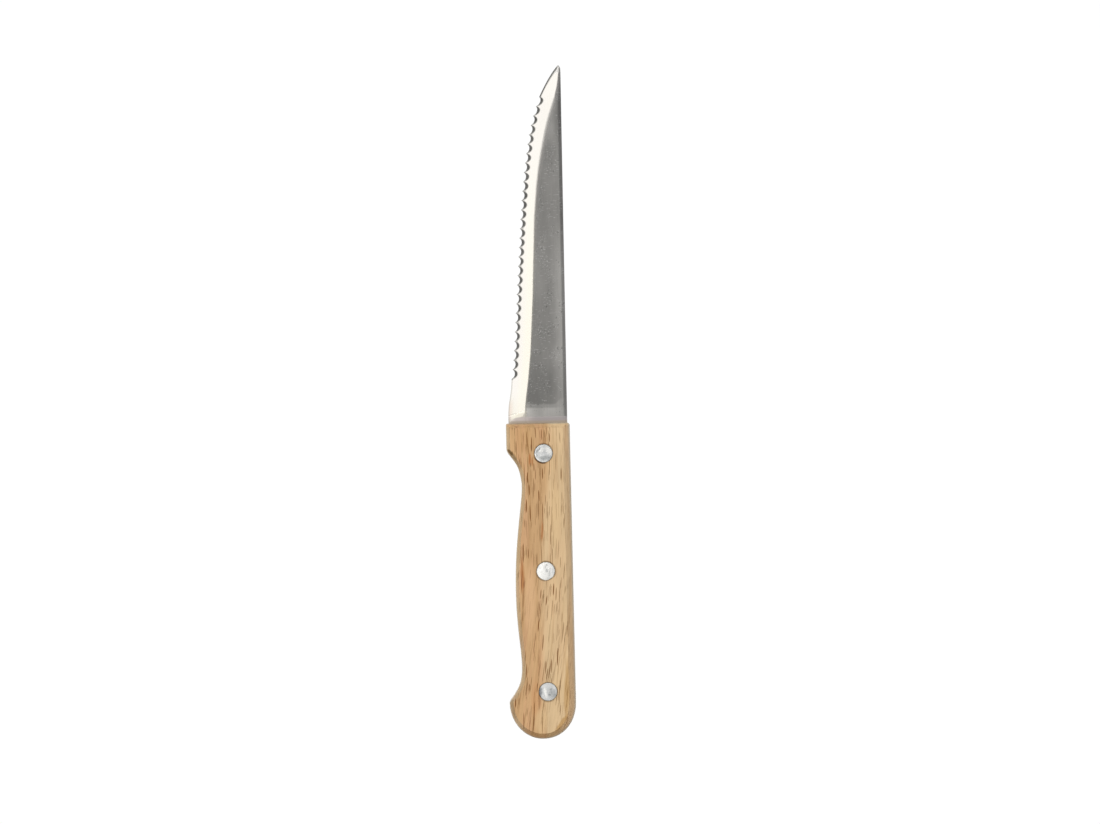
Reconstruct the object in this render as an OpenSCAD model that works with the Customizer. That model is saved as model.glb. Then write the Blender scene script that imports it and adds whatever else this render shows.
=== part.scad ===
// Steak knife with a scalloped blade, a full tang and two riveted wooden scales.
// It lies flat on its side: +Y to the tip, +X to the spine, +Z up from the table.
// The construction lines are the blade's spine (x = 0), the front of the handle (y = 0)
// and the middle of the steel (z = 0). The part is moved to its own origin at the end.

/* [Blade] */
// Length of the blade, from the front of the handle to the tip
blade_length = 114.3; // [95:0.1:130]
// Width of the blade where it leaves the handle
blade_width = 18.8; // [17:0.1:21]
// Thickness of the steel of blade and tang
steel_thickness = 1.5; // [1.2:0.1:2]
// Thickness left along the cutting edge
edge_thickness = 0.22; // [0.1:0.02:0.3]
// Width of the ground bevel at the heel
bevel_width = 5.4; // [4.5:0.1:6.5]
// Width of the eased corner along the spine
spine_ease_width = 1.0; // [0.6:0.1:1.5]
// How far the spine comes down at the tip
tip_drop = 0.62; // [0.4:0.02:0.7]

/* [Scallops] */
// Plain cutting edge between the handle and the first scallop
heel_plain_length = 14.3; // [8:0.1:24]
// Plain cutting edge between the last scallop and the tip
tip_plain_length = 10.0; // [8:0.1:20]
// Spacing of the scallops along the blade
scallop_pitch = 3.0; // [2.5:0.1:4]
// How far a scallop bites into the outline of the edge
scallop_depth = 0.9; // [0.6:0.05:1.1]
// Lean of a scallop's grind from upright, in degrees
scallop_lean = 57; // [45:1:65]

/* [Handle] */
// Length of the handle
handle_length = 100.8; // [94:0.1:115]
// Thickness of each wooden scale
scale_thickness = 6.0; // [5:0.1:8]
// How far the handle stands out past the blade's spine
spine_step = 0.76; // [0.5:0.02:2]
// How much further it stands out there at the butt
spine_flare = 0.3; // [0:0.05:1]
// How far the handle stands out past the blade's heel
heel_step = 0.85; // [0.2:0.05:1.5]
// Width across the finger notch
notch_width = 15.78; // [14.5:0.02:17]
// Width across the belly
belly_width = 18.44; // [17.5:0.02:20]
// Width across the waist, before the butt
waist_width = 17; // [15.5:0.02:17.5]
// Width across the butt
butt_width = 21.2; // [19:0.02:23]

/* [Rivets] */
// Diameter of the rivet heads
rivet_head_d = 5.8; // [5:0.1:7]
// Thickness of a head, from its seat to the top of its crown
rivet_head_h = 1.5; // [1.2:0.1:2]
// Outer diameter of the tubular half's barrel
rivet_barrel_d = 3.8; // [3.4:0.1:4.2]
// Diameter of the solid half's shank
rivet_shank_d = 2.2; // [1.8:0.1:2.4]
// Distance from the blade's spine line to the row of rivets
rivet_row = 7.8; // [7:0.02:8.5]

/* [Hidden] */

// Overrun of every cut past the face that it starts from
overrun = 0.5;
$fn = 72;

// Blade outline. Each row is [share of the blade's length, share of its width].
edge_shares = [[0, 1], [0.03, 0.999], [0.053, 0.988], [0.076, 0.963], [0.098, 0.944],
    [0.125, 0.931], [0.19, 0.895], [0.25, 0.868], [0.375, 0.818], [0.5, 0.766],
    [0.58, 0.731], [0.66, 0.687], [0.72, 0.646], [0.775, 0.596], [0.82, 0.545],
    [0.86, 0.485], [0.895, 0.413], [0.92, 0.35], [0.942, 0.282], [0.962, 0.214],
    [0.98, 0.144], [0.992, 0.09], [0.998, 0.063], [1, 0.045]];
// Width of the bevel along it, as a share of its width at the heel
bevel_shares = [[0, 1], [0.05, 0.985], [0.085, 0.945], [0.12, 0.98], [0.16, 1], [0.3, 1.01],
    [0.4, 0.944], [0.5, 0.887], [0.58, 0.833], [0.66, 0.828], [0.72, 0.862], [0.775, 0.913],
    [0.83, 0.956], [0.87, 0.977], [0.9, 0.955], [0.92, 0.877], [0.942, 0.743], [0.962, 0.565],
    [0.98, 0.365], [0.992, 0.185], [1, 0.022]];
// Share of the heel's bevel width below which the tip grows thinner
full_bevel_share = 0.75;
// Full-thickness steel left in front of the handle, and the length of the bevel's round start
plunge_gap = 1.0;
plunge_round = 2.6;
plunge_steps = 6;
plunge_start_share = 0.03;
// Share of the round start in which the edge comes down to its thickness
plunge_drop_share = 0.9;
// Length over which the spine comes down at the tip, and how late it does so
tip_drop_length = 2.2;
tip_drop_power = 4;
// Steel left at the corner of the spine, and the widest share of the flat that the ease takes
spine_ease_share = 0.62;
spine_ease_width_share = 0.4;
// Places across a scallop where its arc is drawn, and the widest share of the bevel ground away
scallop_shares = [0, 0.09, 0.21, 0.35, 0.5, 0.65, 0.79, 0.91];
grind_limit_share = 0.45;
// Length over which the grind of the edge runs out towards the heel
grind_runout = 0.5;
// Places across the tang's section that carry on the blade's shoulder and spine ease
tang_section_shares = [0, 0.35, 0.9, 1];

// Handle outline: places along the handle, as shares of its length
flare_share = 0.082;
notch_share = 0.197;
belly_share = 0.528;
waist_share = 0.767;
butt_share = 0.884;
// Each row is [share of the stretch's length, share of its change in width]
flare_to_notch_shares = [[0, 0], [0.08, 0.07], [0.16, 0.2], [0.3, 0.46], [0.43, 0.67],
    [0.57, 0.82], [0.71, 0.91], [0.85, 0.97]];
notch_to_belly_shares = [[0, 0], [0.1, 0.06], [0.24, 0.27], [0.43, 0.56], [0.62, 0.8],
    [0.82, 0.95]];
belly_to_waist_shares = [[0, 0], [0.28, 0.1], [0.54, 0.39], [0.8, 0.81]];
waist_to_butt_shares = [[0, 0], [0.2, 0.022], [0.41, 0.107], [0.52, 0.205], [0.62, 0.335],
    [0.72, 0.49], [0.81, 0.655], [0.905, 0.857], [1, 1]];
// Points drawn on the outline between two rows
outline_steps = 2;
// Fullness of the butt's rounding on each side, where 2 is an ellipse, and the angles that draw it
belly_fullness = 2;
spine_fullness = 2.12;
butt_angles = [0, 8, 16, 24, 32, 40, 48, 55, 62, 69, 75, 81, 86];
// Rounded corners at the front, in plan
belly_corner = 0.5;
spine_corner = 0.9;
corner_angles = [0, 18, 36, 54, 72, 90];
// Corner radius left where the rounded arrises meet, as a share of the corner below
inner_corner_share = 0.25;

// Rounding of the arrises round the face of a scale
front_arris = 1.6;
belly_arris = 1.2;
spine_arris = 2.2;
// Each row is [share of the inset, share of the rise] of the rounding, from the side to the face
arris_shares = [[0, 0], [0.03, 0.22], [0.09, 0.39], [0.19, 0.55], [0.34, 0.7], [0.57, 0.84],
    [1, 1]];

// Places of the rivets, as shares of the handle's length
rivet_shares = [0.096, 0.469, 0.851];
// Clearances of the rivets in the scales, in the tang and in each other
head_clearance = 0.06;
barrel_clearance = 0.04;
tang_clearance = 0.1;
shank_clearance = 0.02;
// Height of the crown over its rim, and its top below the face of the wood
crown_h = 0.22;
crown_below_face = 0.04;
crown_steps = 6;
// Gap between the sleeve's end and the pin's head, and between the shank and the sleeve's head
rivet_end_gap = 0.3;

half_steel = steel_thickness / 2;
half_edge = edge_thickness / 2;
half_handle = half_steel + scale_thickness;
front_width = blade_width + heel_step + spine_step;
butt_place = butt_share * handle_length;
butt_reach = handle_length - butt_place;
butt_middle = spine_step + spine_flare - butt_width / 2;
rivet_places = [for (share = rivet_shares) -share * handle_length];
head_seat = half_handle - crown_below_face - rivet_head_h;

function mix(a, b, share) = a + (b - a) * share;
function unit(v) = v / norm(v);
function reversed(list) = [for (i = [len(list) - 1:-1:0]) list[i]];

// Slope of a table's curve at row i, from its neighbours
function slope(rows, i) = let(
    a = rows[max(i - 1, 0)],
    b = rows[min(i + 1, len(rows) - 1)]
) (b[1] - a[1]) / (b[0] - a[0]);

// Height of the smooth curve through a table's rows at place t
function curve(rows, t, i = 0) =
    i < len(rows) - 2 && t > rows[i + 1][0] ? curve(rows, t, i + 1) : let(
        a = rows[i],
        b = rows[i + 1],
        step = b[0] - a[0],
        u = min(max((t - a[0]) / step, 0), 1)
    ) a[1] * (1 - u) * (1 - u) * (1 + 2 * u)
        + b[1] * u * u * (3 - 2 * u)
        + slope(rows, i) * step * u * (1 - u) * (1 - u)
        - slope(rows, i + 1) * step * u * u * (1 - u);

// Blade: its width, and how its bevel and thickness run, at a distance y from the handle
function width_at(y) = blade_width * curve(edge_shares, max(y, 0) / blade_length);
function full_bevel_at(y) = bevel_width * curve(bevel_shares, max(y, 0) / blade_length);
function plunge_at(y) = min(max((y - plunge_gap) / plunge_round, 0), 1);
function bevel_at(y) = full_bevel_at(y)
    * mix(plunge_start_share, 1, sqrt(1 - pow(1 - plunge_at(y), 2)));
function half_at(y) = mix(half_edge, half_steel,
    min(full_bevel_at(y) / (bevel_width * full_bevel_share), 1));
function edge_half_at(y) = mix(half_steel, half_edge, min(plunge_at(y) / plunge_drop_share, 1));
function drop_at(y) = tip_drop * pow(max(1 - (blade_length - y) / tip_drop_length, 0), tip_drop_power);
function ease_at(y) = min(spine_ease_width,
    spine_ease_width_share * (width_at(y) - bevel_at(y) - drop_at(y)));

// Lower outline of the edge: a circular bite for each scallop, and none on the plain edge
scallop_run = blade_length - heel_plain_length - tip_plain_length;
scallop_count = round(scallop_run / scallop_pitch);
scallop_end = heel_plain_length + scallop_count * scallop_pitch;
scallop_r = (pow(scallop_pitch / 2, 2) + pow(scallop_depth, 2)) / (2 * scallop_depth);

function bite_at(y) = y <= heel_plain_length || y >= scallop_end ? 0 : let(
    place = (y - heel_plain_length) / scallop_pitch,
    off_middle = (place - floor(place) - 1 / 2) * scallop_pitch
) scallop_depth - scallop_r + sqrt(pow(scallop_r, 2) - pow(off_middle, 2));

// Upper outline of the edge, further in because the grind leans
function upper_bite_at(y) = let(
    slope = (half_at(y) - half_edge) / full_bevel_at(y),
    rise = tan(scallop_lean),
    full = (bite_at(y) * (1 + slope * rise) + edge_thickness * rise) / (1 - slope * rise),
    start = min(max((y - heel_plain_length) / grind_runout + 1, 0), 1)
) min(full * start, grind_limit_share * bevel_at(y));

blade_stations = concat(
    [0],
    [for (i = [0:plunge_steps]) plunge_gap + plunge_round * (1 - cos(90 * i / plunge_steps))],
    [for (row = edge_shares) let(y = row[0] * blade_length)
        if (y > plunge_gap + plunge_round && y < heel_plain_length - grind_runout) y],
    [heel_plain_length - grind_runout],
    [for (i = [0:scallop_count - 1], share = scallop_shares)
        heel_plain_length + (i + share) * scallop_pitch],
    [scallop_end],
    [for (row = edge_shares) if (row[0] * blade_length > scallop_end) row[0] * blade_length]
);

// Upper and lower line of a section, joined into a closed loop
function section_loop(upper, lower) = concat(upper, reversed(lower));

// Section of the blade: edge, bevel shoulder, spine ease and spine, above and below
function blade_section(y) = let(
    w = width_at(y),
    half = half_at(y),
    edge_half = min(edge_half_at(y), half),
    slope = (half - edge_half) / bevel_at(y),
    shoulder = w - bevel_at(y),
    drop = drop_at(y),
    ease = drop + ease_at(y),
    spine_half = half * mix(1, spine_ease_share, min(y / plunge_gap, 1)),
    bite = bite_at(y),
    upper_bite = upper_bite_at(y)
) section_loop(
    [[upper_bite - w, y, edge_half + slope * upper_bite], [-shoulder, y, half],
        [-ease, y, half], [-drop, y, spine_half]],
    [[bite - w, y, -edge_half - slope * bite], [-shoulder, y, -half],
        [-ease, y, -half], [-drop, y, -spine_half]]
);

// Section of the tang between a point on the belly side and one on the spine side
function tang_section(belly_point, spine_point) = let(
    line = [for (share = tang_section_shares) mix(belly_point, spine_point, share)]
) section_loop(
    [for (p = line) [p[0], p[1], half_steel]],
    [for (p = line) [p[0], p[1], -half_steel]]
);

// Solid through closed loops with the same number of points, each with a flat cap
module loft(loops) {
    n = len(loops[0]);
    last = len(loops) - 1;
    sides = [for (k = [0:last - 1], i = [0:n - 1]) let(
        a = k * n + i,
        b = k * n + (i + 1) % n
    ) each [[a, a + n, b + n], [a, b + n, b]]];
    cap = [for (i = [0:n / 2 - 2]) each [[i, i + 1, n - 2 - i], [i, n - 2 - i, n - 1 - i]]];
    polyhedron(
        points = [for (points = loops) each points],
        faces = concat(sides, cap, [for (face = cap) reversed(face) + [1, 1, 1] * last * n])
    );
}

// Handle outline: rows of [place along the handle, width] between two named widths
function stretch(shares, place_a, place_b, width_a, width_b) = [for (row = shares)
    [handle_length * mix(place_a, place_b, row[0]), mix(width_a, width_b, row[1])]];

width_rows = concat(
    stretch(flare_to_notch_shares, flare_share, notch_share, front_width, notch_width),
    stretch(notch_to_belly_shares, notch_share, belly_share, notch_width, belly_width),
    stretch(belly_to_waist_shares, belly_share, waist_share, belly_width, waist_width),
    stretch(waist_to_butt_shares, waist_share, butt_share, waist_width, butt_width)
);
outline_places = [for (i = [0:len(width_rows) - 2], step = [0:outline_steps - 1])
    mix(width_rows[i][0], width_rows[i + 1][0], step / outline_steps)];

// Line of the handle's back, which flares towards the butt
function back_at(place) = spine_step + spine_flare * place / butt_place;

// Half of the butt's rounding, on the belly side (-1) or the spine side (1)
function butt_side(side) = let(
    fullness = side < 0 ? belly_fullness : spine_fullness,
    last = sin(butt_angles[len(butt_angles) - 1])
) [for (a = butt_angles) [
    butt_middle + side * butt_width / 2 * pow(cos(a), 2 / fullness),
    -butt_place - butt_reach * pow(sin(a) / last, 2 / fullness)
]];

belly_run = concat(
    [for (place = outline_places) [back_at(place) - curve(width_rows, place), -place]],
    butt_side(-1)
);
spine_run = concat([for (place = outline_places) [back_at(place), -place]], butt_side(1));
plain_loop = concat(belly_run, reversed(spine_run));

// Arris of each point, which turns from the belly's to the spine's round the butt
function arrises(arris, other) = concat(
    [for (place = outline_places) arris],
    [for (a = butt_angles) mix(arris, other, pow(sin(a), 2) / 2)]
);
plain_arrises = concat(
    arrises(belly_arris, spine_arris),
    reversed(arrises(spine_arris, belly_arris))
);

// Inward normal at each point of the loop, whose first and last points lie on straight sides
function inward(i) = let(
    last = len(plain_loop) - 1,
    along = i == 0 || i == last ? [0, i == 0 ? -1 : 1]
        : unit(plain_loop[i + 1] - plain_loop[i]) + unit(plain_loop[i] - plain_loop[i - 1])
) unit([-along[1], along[0]]);

// Front corner on the belly side (-1) or the spine side (1), drawn in by a share of its arrises,
// each point with its arris
function front_corner(side, share) = let(
    outer = side < 0 ? spine_step - front_width : spine_step,
    radius = side < 0 ? belly_corner : spine_corner,
    arris = side < 0 ? belly_arris : spine_arris,
    inner = radius * inner_corner_share,
    r = mix(radius, inner, share),
    centre = [
        outer - side * mix(radius, inner + arris, share),
        -mix(radius, inner + front_arris, share)
    ]
) [for (a = corner_angles)
    [centre[0] + side * r * sin(a), centre[1] + r * cos(a), mix(front_arris, arris, a / 90)]];

// The whole outline drawn in by a share of its arrises, as [x, y, arris]
function ring(share) = concat(
    front_corner(-1, share),
    [for (i = [0:len(plain_loop) - 1]) let(
        p = plain_loop[i] + inward(i) * plain_arrises[i] * share
    ) [p[0], p[1], plain_arrises[i]]],
    reversed(front_corner(1, share))
);

module wooden_scale() {
    rise = [for (row = arris_shares)
        [for (p = ring(row[0])) [p[0], p[1], half_handle - p[2] * (1 - row[1])]]];
    foot = [for (p = ring(0)) [p[0], p[1], half_steel]];
    difference() {
        loft(concat([foot], rise));
        for (place = rivet_places) translate([-rivet_row, place, 0]) {
            cylinder(d = rivet_barrel_d + 2 * barrel_clearance, h = half_handle + overrun);
            translate([0, 0, head_seat])
                cylinder(d = rivet_head_d + 2 * head_clearance, h = rivet_head_h + overrun);
        }
    }
}

// Blade and tang, from the butt to the tip, drilled for the rivets
module blade() {
    belly_points = concat(front_corner(-1, 0), belly_run);
    spine_points = concat(front_corner(1, 0), spine_run);
    tang = [for (i = [len(belly_points) - 1:-1:1]) tang_section(belly_points[i], spine_points[i])];
    color("silver") difference() {
        loft(concat(tang, [for (y = blade_stations) blade_section(y)]));
        for (place = rivet_places) translate([-rivet_row, place, -half_steel - overrun])
            cylinder(d = rivet_barrel_d + 2 * tang_clearance, h = steel_thickness + 2 * overrun);
    }
}

module upper_scale() {
    color("burlywood") wooden_scale();
}

module lower_scale() {
    color("tan") mirror([0, 0, 1]) wooden_scale();
}

// Half section of a head: a disc with a crowned top, from its seat up
function head_profile() = let(
    head_r = rivet_head_d / 2,
    crown_r = (head_r * head_r + crown_h * crown_h) / (2 * crown_h),
    sweep = asin(head_r / crown_r)
) concat(
    [[0, head_seat], [head_r, head_seat]],
    [for (i = [crown_steps:-1:0]) let(a = sweep * i / crown_steps)
        [crown_r * sin(a), head_seat + rivet_head_h - crown_r * (1 - cos(a))]]
);

module rivet_head() {
    rotate_extrude() polygon(head_profile());
}

// Tubular half, with its head on the upper side
module rivet_sleeve(place) {
    barrel_end = -head_seat + rivet_end_gap;
    color("gainsboro") translate([-rivet_row, place, 0]) difference() {
        union() {
            rivet_head();
            translate([0, 0, barrel_end])
                cylinder(d = rivet_barrel_d, h = head_seat - barrel_end + crown_h);
        }
        translate([0, 0, barrel_end - overrun])
            cylinder(d = rivet_shank_d + 2 * shank_clearance, h = head_seat - barrel_end + overrun);
    }
}

// Solid half, with its head on the lower side and its shank in the sleeve
module rivet_pin(place) {
    shank_end = head_seat - rivet_end_gap;
    color("lightgray") translate([-rivet_row, place, 0]) {
        mirror([0, 0, 1]) rivet_head();
        translate([0, 0, -head_seat - crown_h])
            cylinder(d = rivet_shank_d, h = shank_end + head_seat + crown_h);
    }
}

// Moves the part to its own origin, in the middle of the box that it fills and on the table
module placed() {
    translate([
        -butt_middle,
        (handle_length - blade_length) / 2,
        half_handle
    ]) children();
}

placed() blade();
placed() upper_scale();
placed() lower_scale();
placed() rivet_sleeve(rivet_places[0]);  // front_rivet_sleeve
placed() rivet_pin(rivet_places[0]);  // front_rivet_pin
placed() rivet_sleeve(rivet_places[1]);  // middle_rivet_sleeve
placed() rivet_pin(rivet_places[1]);  // middle_rivet_pin
placed() rivet_sleeve(rivet_places[2]);  // rear_rivet_sleeve
placed() rivet_pin(rivet_places[2]);  // rear_rivet_pin
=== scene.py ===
"""Looks of the steak knife: oiled wood scales, a satin blade with a bright ground bevel, dented rivets."""
import math

import bpy
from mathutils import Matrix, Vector


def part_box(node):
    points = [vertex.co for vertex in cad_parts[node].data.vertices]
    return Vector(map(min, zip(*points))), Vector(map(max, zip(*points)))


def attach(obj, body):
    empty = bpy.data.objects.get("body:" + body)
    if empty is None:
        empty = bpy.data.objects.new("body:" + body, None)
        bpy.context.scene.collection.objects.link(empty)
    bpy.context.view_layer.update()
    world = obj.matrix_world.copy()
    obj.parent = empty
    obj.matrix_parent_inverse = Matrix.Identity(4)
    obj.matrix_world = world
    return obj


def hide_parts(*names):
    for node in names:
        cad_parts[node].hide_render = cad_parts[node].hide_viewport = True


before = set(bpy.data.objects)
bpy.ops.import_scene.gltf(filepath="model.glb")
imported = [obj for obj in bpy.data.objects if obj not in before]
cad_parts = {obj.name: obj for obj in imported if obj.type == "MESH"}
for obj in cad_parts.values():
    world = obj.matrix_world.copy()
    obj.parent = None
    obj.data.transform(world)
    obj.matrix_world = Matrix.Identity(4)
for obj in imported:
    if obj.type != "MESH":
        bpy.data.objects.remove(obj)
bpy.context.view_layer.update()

# Lengths are in metres, as the frame's are. Patterns in the materials are written in millimetres.
MM = 0.001

# The photograph: its size, how much one pixel covers at the knife, and how the knife lies in it
PHOTO_PIXELS = (1100, 824)
PIXEL = 0.32 * MM
KNIFE_TURN = math.radians(1.12)
KNIFE_MIDDLE_PIXEL = (537.05, 402.0)
CAMERA_HEIGHT = 2.5

# Places on the knife, read from the frame
RIVETS = ("front", "middle", "rear")
HANDLE_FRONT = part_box("upper_scale")[1].y
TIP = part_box("blade")[1].y
STEEL_BOTTOM, STEEL_TOP = (corner.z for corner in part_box("blade"))
STEEL_MIDDLE = (STEEL_BOTTOM + STEEL_TOP) / 2
FACE_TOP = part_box("upper_scale")[1].z
RIVET_PLACES = {rivet: sum(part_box(f"{rivet}_rivet_sleeve"), Vector()) / 2 for rivet in RIVETS}
HEAD_RADIUS = (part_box("front_rivet_sleeve")[1].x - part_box("front_rivet_sleeve")[0].x) / 2

# Points nearer than the gap are one. Faces within the flat angle make one face, triangles within
# the next make four-sided faces, and edges up to the last shade smooth.
MERGE_GAP = 0.001 * MM
FLAT_ANGLE = math.radians(0.2)
QUAD_ANGLE = math.radians(5)
SMOOTH_ANGLE = math.radians(35)

# Parts of a face's normal: on a level face, on a face that stands on edge and on a scale's wall,
# and those across and along that tell the eased spine, the flat and the bevel of the blade apart
LEVEL = 0.999
ON_EDGE = 0.3
WALL = 0.5
EASE_SLOPE = 0.1
FLAT_SLOPES = (-0.05, 0.1)
BEVEL_SLOPES = (-0.3, 0.2)

# The blade: spacing of the cuts that carry its shading, and the rounding of the bevel's shoulder.
# It grows by a power from a share of the blade's length on, and narrows by another with the flat.
CUT_SPACING = 1.2 * MM
SHOULDER_SOFT_HEEL = 0.16 * MM
SHOULDER_SOFT_TIP = 1.3 * MM
SHOULDER_GROWS_AT = 0.25
SHOULDER_GROWTH = 1.5
NARROW_FLAT_PLACE = 0.88
SHOULDER_NARROWING = 2
SHOULDER_STEPS = 6

# The rounding of the flat's border by the spine, how far past the handle the bevel is ground in
# full, and how much large faces outweigh small ones in the shading
SPINE_SOFT = 0.18 * MM
PLUNGE_LENGTH = 4.0 * MM
NORMAL_WEIGHT = 80

# The scales: rounding of the rims that the plane leaves square
JOINT_EASE = 0.12 * MM
RECESS_EASE = 0.1 * MM
RECESS_REACH = HEAD_RADIUS + 0.3 * MM
EASE_STEPS = 2

# The rivet heads
HEAD_SIDES = 96
HEAD_RINGS = 14
HEAD_RIM = 0.16 * MM
RIM_STEPS = 4


def colour(code):
    """Linear colour, with alpha, of a colour written as #rrggbb."""
    parts = [int(code[i:i + 2], 16) / 255 for i in (1, 3, 5)]
    linear = [p / 12.92 if p <= 0.04045 else ((p + 0.055) / 1.055) ** 2.4 for p in parts]
    return (*linear, 1.0)


def take_up(piece):
    """Leaves one piece selected and active."""
    bpy.ops.object.select_all(action="DESELECT")
    piece.select_set(True)
    bpy.context.view_layer.objects.active = piece


def pick(piece, faces=None, edges=None, points=None):
    """Enters edit mode with only those faces, edges or points selected that pass the given test."""
    if bpy.context.mode != "OBJECT":
        bpy.ops.object.mode_set(mode="OBJECT")
    mesh = piece.data
    for parts in (mesh.vertices, mesh.edges, mesh.polygons):
        parts.foreach_set("select", [False] * len(parts))
    if faces:
        for face in mesh.polygons:
            face.select = bool(faces(face))
    if edges:
        for edge in mesh.edges:
            a, b = (mesh.vertices[i].co for i in edge.vertices)
            edge.select = bool(edges(a, b))
    if points:
        for vertex in mesh.vertices:
            vertex.select = bool(points(vertex.co))
    bpy.ops.object.mode_set(mode="EDIT")
    bpy.ops.mesh.select_mode(type="FACE" if faces else "EDGE" if edges else "VERT")


def put_down(piece):
    """Leaves edit mode and shades the piece smooth, but for its sharper edges."""
    if bpy.context.mode != "OBJECT":
        bpy.ops.object.mode_set(mode="OBJECT")
    take_up(piece)
    bpy.ops.object.shade_smooth_by_angle(angle=SMOOTH_ANGLE, keep_sharp_edges=True)


def copy_of(node, name):
    """A copy of a CAD node as a new piece: its loose triangles merged and its flats made whole."""
    piece = bpy.data.objects.new(name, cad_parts[node].data.copy())
    bpy.context.collection.objects.link(piece)
    piece.data.materials.clear()
    take_up(piece)
    bpy.ops.mesh.customdata_custom_splitnormals_clear()
    bpy.ops.object.mode_set(mode="EDIT")
    bpy.ops.mesh.select_all(action="SELECT")
    bpy.ops.mesh.remove_doubles(threshold=MERGE_GAP)
    bpy.ops.mesh.mark_sharp(clear=True)
    bpy.ops.mesh.dissolve_limited(angle_limit=FLAT_ANGLE)
    bpy.ops.object.mode_set(mode="OBJECT")
    return piece


def new_material(name):
    """A material with its node tree and its surface shader."""
    material = bpy.data.materials.new(name)
    material.use_nodes = True
    return material, material.node_tree, material.node_tree.nodes["Principled BSDF"]


def feed(socket, value):
    """Sets a socket to a value, or joins another socket to it."""
    if isinstance(value, bpy.types.NodeSocket):
        socket.id_data.links.new(value, socket)
    elif value is not None:
        socket.default_value = value


def feed_all(node, **values):
    """Feeds a node's sockets by their names, with an underscore for each space. Gives its outputs."""
    for name, value in values.items():
        feed(node.inputs[name.replace("_", " ")], value)
    return node.outputs


def new_node(kind, *values):
    """A new node of a kind, in the node tree that the sockets among the values belong to."""
    tree = next(value.id_data for value in values if isinstance(value, bpy.types.NodeSocket))
    return tree.nodes.new("ShaderNode" + kind)


def arithmetic(operation, a, b=None, clamped=False):
    """A sum of one or two numbers, kept from 0 to 1 where it is clamped."""
    node = new_node("Math", a, b)
    node.operation = operation
    node.use_clamp = clamped
    feed(node.inputs[0], a)
    feed(node.inputs[1], b)
    return node.outputs[0]


def sum_of_two(operation):
    """A function that puts two numbers together by one operation."""
    return lambda a, b: arithmetic(operation, a, b)


plus, minus, times, over = map(sum_of_two, ("ADD", "SUBTRACT", "MULTIPLY", "DIVIDE"))
larger, smaller = map(sum_of_two, ("MAXIMUM", "MINIMUM"))


def unsigned(number):
    """A number without its sign."""
    return arithmetic("ABSOLUTE", number)


def vectors(operation, *values):
    """Outputs of a vector sum."""
    node = new_node("VectorMath", *values)
    node.operation = operation
    for socket, value in zip(node.inputs, values):
        feed(socket, value)
    return node.outputs


def mix_colours(share, a, b, kind="MIX"):
    """Goes from colour a to colour b by a share. Sockets 6, 7 and 2 are the node's colours."""
    node = new_node("Mix", share, a, b)
    node.data_type = "RGBA"
    node.blend_type = kind
    for name, value in zip(("Factor", 6, 7), (share, a, b)):
        feed(node.inputs[name], value)
    return node.outputs[2]


def mix_numbers(share, a, b):
    """Goes from number a to number b by a share. Sockets 2 and 3 are the node's numbers."""
    node = new_node("Mix", share, a, b)
    for name, value in zip(("Factor", 2, 3), (share, a, b)):
        feed(node.inputs[name], value)
    return node.outputs[0]


def tinted(share, tone, tint):
    """A colour multiplied by a tint, by a share."""
    return mix_colours(share, tone, tint, "MULTIPLY")


def between(value, low, high, start=0.0, end=1.0):
    """Goes smoothly from start to end as the value goes from low to high."""
    node = new_node("MapRange", value)
    node.interpolation_type = "SMOOTHSTEP"
    return feed_all(node, Value=value, From_Min=low, From_Max=high, To_Min=start, To_Max=end)["Result"]


def profile(value, rows):
    """Height of a smooth line through rows of (place, height), heights being from 0 to 1."""
    low, high = rows[0][0], rows[-1][0]
    share = feed_all(new_node("MapRange", value), Value=value, From_Min=low, From_Max=high)["Result"]
    ramp = new_node("ValToRGB", value)
    ramp.color_ramp.interpolation = "CARDINAL"
    stops = ramp.color_ramp.elements
    for i, (place, height) in enumerate(rows):
        stop = stops[i] if i < 2 else stops.new(1.0)
        stop.position = (place - low) / (high - low)
        stop.color = (height, height, height, 1)
    return feed_all(ramp, Fac=share)["Color"]


def scaled(place, size, turn=0.0):
    """The place in units of a pattern's size along x, y and z, turned about z."""
    rotation = (0, 0, math.radians(turn))
    scale = [1 / s for s in size]
    return feed_all(new_node("Mapping", place), Vector=place, Rotation=rotation, Scale=scale)["Vector"]


# Where nearly all of a noise's height lies
NOISE_RANGE = (0.3, 0.7)


def noise_of(place, size, detail):
    """Outputs of a noise whose waves have a size along x, y and z."""
    return feed_all(new_node("TexNoise", place), Vector=scaled(place, size), Scale=1.0, Detail=detail)


def noise(place, size, detail=2.0):
    """Height of a noise, from 0 to 1."""
    return noise_of(place, size, detail)["Fac"]


def pattern(place, size, detail, ramp):
    """A noise read through a ramp: from where to where, and from what to what if not from 0 to 1."""
    return between(noise(place, size, detail), *ramp)


def millimetres(tree, shift=(0, 0, 0)):
    """Object coordinates in millimetres, moved by a shift so that two pieces never match."""
    place = tree.nodes.new("ShaderNodeTexCoord").outputs["Object"]
    scale = (1 / MM, 1 / MM, 1 / MM)
    return feed_all(new_node("Mapping", place), Vector=place, Location=shift, Scale=scale)["Vector"]


def split(place):
    """The x, y and z of a place."""
    node = new_node("SeparateXYZ", place)
    feed(node.inputs[0], place)
    return node.outputs


def joined(x, y, z):
    """The place at x, y and z."""
    return feed_all(new_node("CombineXYZ", x, y, z), X=x, Y=y, Z=z)["Vector"]


def lit(tone, light):
    """A colour made lighter or darker by a number."""
    return tinted(1.0, tone, joined(light, light, light))


def wandering(place, size, reach):
    """The place, moved to and fro by noise, so that what is drawn there gets uneven borders."""
    field = noise_of(place, size, 2.0)["Color"]
    move = vectors("MULTIPLY_ADD", field, (reach, reach, 0.0), (-reach / 2, -reach / 2, 0.0))
    return vectors("ADD", place, move["Vector"])["Vector"]


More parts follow.
